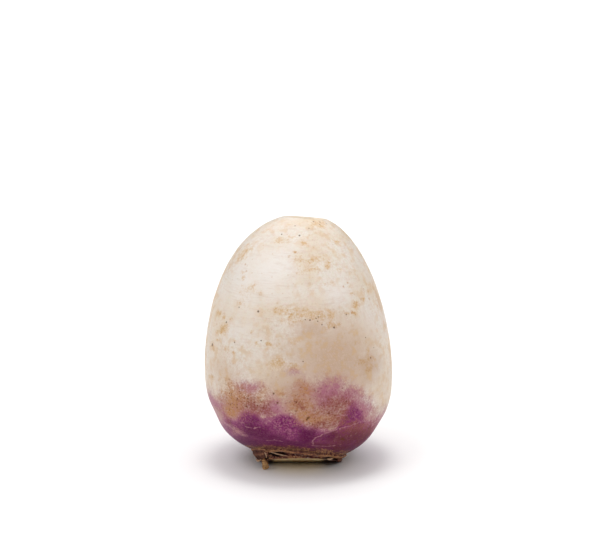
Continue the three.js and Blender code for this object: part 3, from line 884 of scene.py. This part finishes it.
# Bearing and arc in degrees; top and bottom are heights from the skin's edge.
LEAF_BASES = {
    "left": {
        "bearing": 205, "arc": 46, "top": 1.1, "bottom": -3.2,
        "thickness": 1.5, "flare": 0.5, "seed": 61,
    },
    "front": {
        "bearing": -83, "arc": 42, "top": 0.3, "bottom": -0.9,
        "thickness": 0.9, "flare": 0.4, "seed": 62,
    },
    "right": {
        "bearing": -25, "arc": 10, "top": -0.6, "bottom": -2.5,
        "thickness": 0.9, "flare": 0.1, "seed": 63,
    },
    "back_1": {
        "bearing": 38, "arc": 30, "top": 0.4, "bottom": -3.2,
        "thickness": 1.1, "flare": 0.5, "seed": 64,
    },
    "back_2": {
        "bearing": 92, "arc": 34, "top": 0.6, "bottom": -3.4,
        "thickness": 1.2, "flare": 0.4, "seed": 65,
    },
    "back_3": {
        "bearing": 146, "arc": 28, "top": 0.3, "bottom": -3.2,
        "thickness": 1.0, "flare": 0.6, "seed": 66,
    },
}
LEAF_NODES = {
    "left": "leaf_stub_left", "front": "leaf_scale_front", "right": "leaf_stub_right",
    "back_1": "leaf_stub_back_1", "back_2": "leaf_stub_back_2", "back_3": "leaf_stub_back_3",
}


# How far the back of a leaf base is sunk into the neck.
SUNK_IN = 0.15


def leaf_base(bearing, arc, top, bottom, thickness, flare, seed):
    """A plate on the neck as rings along its arc. Each ring is a rounded section from the neck
    outwards: thick at its lip, hollow below it, with its foot flaring out. The plate thins to its
    ends, its lower edge is torn by ripples, and fine ridges run down it."""
    along = np.linspace(-1, 1, 72)[1:-1, None]
    turn = np.linspace(0, 2 * np.pi, 36, endpoint=False)
    end = np.sqrt(1 - along**2) ** 0.7
    out = np.sign(np.cos(turn)) * np.abs(np.cos(turn)) ** 0.7
    up = -np.sign(np.sin(turn)) * np.abs(np.sin(turn)) ** 0.8
    where = np.radians(bearing + along * arc / 2)
    tear = np.stack([along * arc / 9, 0 * along, 0 * along + seed], -1)
    torn = layered(tear, [(0.35, 0.55, 1, seed), (0.15, 0.2, 1, seed + 1)])
    low = bottom + 0.5 * (top - bottom) * torn
    height = (top + low) / 2 + (top - low) / 2 * up * end
    share = (1 - up) / 2
    lip = 0.35 + 0.65 * np.exp(-(((share - 0.12) / 0.16) ** 2))
    lip = lip + 0.4 * np.exp(-(((share - 0.62) / 0.2) ** 2))
    lines = np.stack([along * arc / 2 + 0 * turn, 0 * height + seed, height * 0.35], -1)
    ridges = layered(lines, [(0.16, 1.1, 1, seed + 2), (0.08, 0.45, 1, seed + 3)])
    stand = thickness * lip * end * (out + 0.7) / 1.7 + flare * share**2
    stand = stand + ridges * (out > 0) * end - SUNK_IN
    level = NECK_TOP + height
    rings = grown(neck_radius(level) + stand, where + 0 * level, level) + SET_DOWN
    rings[..., 2] = np.maximum(rings[..., 2], 0)
    # How lit each point looks, for the painted highlight on outward lips and ridges and the painted
    # shade elsewhere.
    lit = ease(lip + 0 * end, 0.5, 1.0) * np.clip(out, 0, 1) + 2 * ridges
    return rings, lit


DRY_BROWN = (0.17, 0.065, 0.04)


def leaf_finish():
    """Dried leaf base: brown, fibrous and matt, with tan along its outward lips and ridges that is
    partly a painted highlight, and near black painted shade where they are not lit.
    """
    finish, tree, shader = new_finish("dried_leaf", 0.8)
    fibres = grain(tree, 0.7, 4, (1, 1, 0.35))
    blotch = grain(tree, 1.6, 3)
    uneven = calc(tree, "MULTIPLY", calc(tree, "SUBTRACT", fibres, 0.5), 1.2)
    lit_lip_and_shade = calc(tree, "ADD", amount(tree, "lit_lip_and_shade"), uneven)
    # Painted shade where the lit value is low, then painted highlight in tan where it is high.
    colour = stain(tree, PAINTED_SHADE_BROWN, DRY_BROWN, between(tree, lit_lip_and_shade, -0.3, 0.3))
    colour = stain(tree, colour, CORK_TAN, between(tree, lit_lip_and_shade, 0.25, 1.0, 0.0, 0.95))
    colour = stain(tree, colour, CORK, between(tree, blotch, 0.5, 0.7, 0.0, 0.6))
    feed(tree, shader.inputs["Base Color"], colour)
    feed(tree, shader.inputs["Normal"], dents(tree, fibres, 0.15))
    shader.inputs["Specular IOR Level"].default_value = 0.25
    return finish


dried_leaf = leaf_finish()
for side, sizes in LEAF_BASES.items():
    rings, lit_lip_and_shade = leaf_base(**sizes)
    mesh = closed_mesh("leaf_base_" + side, rings, rings[0].mean(0), rings[-1].mean(0))
    add_amount(mesh, "lit_lip_and_shade", lit_lip_and_shade, 0.3, 0.3)
    add_piece("leaf_base_" + side, mesh, dried_leaf, "dried_leaf", LEAF_NODES[side])

# ---------------------------------------------------------------------------------------------
# The stalk chip and the torn fibres. A stub of stalk hangs from the front cut and touches the
# table, and pale dry fibres, a curl and a crumb are left from the leaves that were pulled away.


SMOOTHINGS = 12


def strand(points, widths, flatness, seed, steps=40, sides=16):
    """A torn strand as rings along a smooth line through its points. Widths are its half widths
    along the line, flatness is its thickness by its width, and ripples roughen it."""
    points = np.array(points, float)
    stations = np.linspace(0, len(points) - 1, steps)
    knots = np.arange(len(points))
    line = np.stack([np.interp(stations, knots, points[:, axis]) for axis in range(3)], -1)
    for _ in range(SMOOTHINGS):
        line[1:-1] = (line[:-2] + 2 * line[1:-1] + line[2:]) / 4
    ahead = np.gradient(line, axis=0)
    ahead /= np.linalg.norm(ahead, axis=1, keepdims=True)
    side = np.cross(ahead, (0.2, -0.6, 0.8))
    side /= np.linalg.norm(side, axis=1, keepdims=True)
    face = np.cross(ahead, side)
    half = np.interp(stations, np.linspace(0, len(points) - 1, len(widths)), widths)
    half = half[:, None, None]
    turn = np.linspace(0, 2 * np.pi, sides, endpoint=False)[None, :, None]
    section = np.cos(turn) * side[:, None] + flatness * np.sin(turn) * face[:, None]
    rings = line[:, None] + half * section
    rough = ripple(rings, 0.7, seed)[..., None] * half * 0.35
    rings = rings + rough * (rings - line[:, None]) / half
    return rings + SET_DOWN


def fibre_finish(name, pale, dark):
    """Dry stalk fibre: straw colour, darker in its grain, matt."""
    finish, tree, shader = new_finish(name, 0.8)
    fibres = grain(tree, 0.5, 4)
    colour = stain(tree, dark, pale, between(tree, fibres, 0.35, 0.62))
    feed(tree, shader.inputs["Base Color"], colour)
    feed(tree, shader.inputs["Normal"], dents(tree, fibres, 0.12))
    shader.inputs["Specular IOR Level"].default_value = 0.25
    return finish


STALK_PALE = (0.66, 0.39, 0.17)
STALK_DARK = (0.31, 0.14, 0.055)
STRAW_PALE = (0.66, 0.46, 0.30)
STRAW_DARK = (0.34, 0.19, 0.10)
CHIP = {
    "points": [(-10.9, -8.1, 0.1), (-10.7, -8.3, 1.0), (-10.8, -8.6, 2.0), (-11.3, -9.2, 3.5)],
    "widths": [0.85, 1.1, 1.1, 1.0, 0.75],
    "flatness": 0.8,
    "seed": 71,
}
FIBRES = {
    "leaf_curl": {
        "points": [(-13.9, -7.6, 3.4), (-13, -8.6, 3.0), (-12, -9.1, 3.5)],
        "widths": [0.1, 0.4, 0.12], "flatness": 0.6, "seed": 72,
    },
    "fibre_fork": {
        "points": [(-10.8, -12.1, 7.1), (-10.3, -12.2, 6.1), (-10.2, -12.1, 5.0)],
        "widths": [0.12, 0.25, 0.1], "flatness": 0.6, "seed": 73,
    },
    "fibre_long": {
        "points": [(-9.3, -13.2, 7.6), (-6.4, -14.4, 7.1), (-3.3, -15.2, 6.7)],
        "widths": [0.1, 0.28, 0.24, 0.08], "flatness": 0.6, "seed": 74,
    },
    "leaf_crumb": {
        "points": [(9.3, -11.2, 4.4), (10.3, -10.6, 4.2), (11.2, -10, 4.4)],
        "widths": [0.12, 0.36, 0.3, 0.1], "flatness": 0.7, "seed": 75,
    },
}

chip_rings = strand(**CHIP)
chip_rings[..., 2] = np.maximum(chip_rings[..., 2], 0)
chip_mesh = closed_mesh("chip", chip_rings, chip_rings[0].mean(0), chip_rings[-1].mean(0))
stalk = fibre_finish("stalk", STALK_PALE, STALK_DARK)
add_piece("chip_of_stalk", chip_mesh, stalk, "stalk", "stalk_chip")

straw = fibre_finish("fibre", STRAW_PALE, STRAW_DARK)
for node, sizes in FIBRES.items():
    rings = strand(**sizes)
    mesh = closed_mesh(node + "_torn", rings, rings[0].mean(0), rings[-1].mean(0))
    add_piece(node + "_torn", mesh, straw, "fibre", node)

# ---------------------------------------------------------------------------------------------
# The stage: a white table that the turnip stands on, wide soft lamps overhead, in front and
# behind with a plain white room round them, and the camera that looks slightly down on it.

TABLE_HALF = 9.0
TABLE_WHITE = (0.95, 0.95, 0.95)
ROOM_WHITE = (1.0, 1.0, 1.0)
ROOM_GLOW = 0.06
# Each lamp: tilt, bearing, width and power.
LAMPS = {
    "ceiling": (0, 0, 130, 2.42),
    "overhead": (0, 0, 18, 0.64),
    "front_left": (32, -145, 26, 0.40),
    "front_right": (48, -20, 50, 0.22),
    "back": (45, 90, 60, 0.36),
}
CAMERA = {"place": (0.5, -523.0, 172.7), "down": 12, "lens": 100, "sensor": 36}


def white_table():
    """A wide white sheet for the turnip to stand on."""
    sides = ((-1, -1), (1, -1), (1, 1), (-1, 1))
    corners = [(x * TABLE_HALF, y * TABLE_HALF, 0) for x, y in sides]
    mesh = bpy.data.meshes.new("table")
    mesh.from_pydata(corners, [], [(0, 1, 2, 3)])
    table = bpy.data.objects.new("table", mesh)
    bpy.context.scene.collection.objects.link(table)
    finish, tree, shader = new_finish("white_table", 0.9)
    feed(tree, shader.inputs["Base Color"], TABLE_WHITE)
    mesh.materials.append(finish)


def soft_light(name, tilt, bearing, width, power):
    """A soft light far away: tilt is its angle from overhead, bearing the side that it comes from,
    and width how wide it looks from the turnip, all in degrees."""
    lamp = bpy.data.lights.new(name, "SUN")
    lamp.angle = np.radians(width)
    lamp.energy = power
    light = bpy.data.objects.new(name, lamp)
    light.rotation_euler = (0, np.radians(tilt), np.radians(bearing))
    bpy.context.scene.collection.objects.link(light)


def white_room(glow):
    """Even light from all round, seen by the camera as a plain white background."""
    world = bpy.data.worlds.new("white_room")
    world.use_nodes = True
    tree = world.node_tree
    seen = tree.nodes.new("ShaderNodeLightPath").outputs["Is Camera Ray"]
    strength = between(tree, seen, 0.0, 1.0, glow, 1.0)
    feed(tree, tree.nodes["Background"].inputs["Strength"], strength)
    feed(tree, tree.nodes["Background"].inputs["Color"], ROOM_WHITE)
    bpy.context.scene.world = world


white_table()
for name, (tilt, bearing, width, power) in LAMPS.items():
    soft_light(name, tilt, bearing, width, power)
white_room(ROOM_GLOW)
bpy.context.scene.view_settings.view_transform = "Standard"

lens = bpy.data.cameras.new("camera")
lens.lens = CAMERA["lens"]
lens.sensor_width = CAMERA["sensor"]
camera = bpy.data.objects.new("camera", lens)
camera.location = (np.array(CAMERA["place"]) + SET_DOWN) * MM
camera.rotation_euler = (np.radians(90 - CAMERA["down"]), 0, 0)
bpy.context.scene.collection.objects.link(camera)
bpy.context.scene.camera = camera
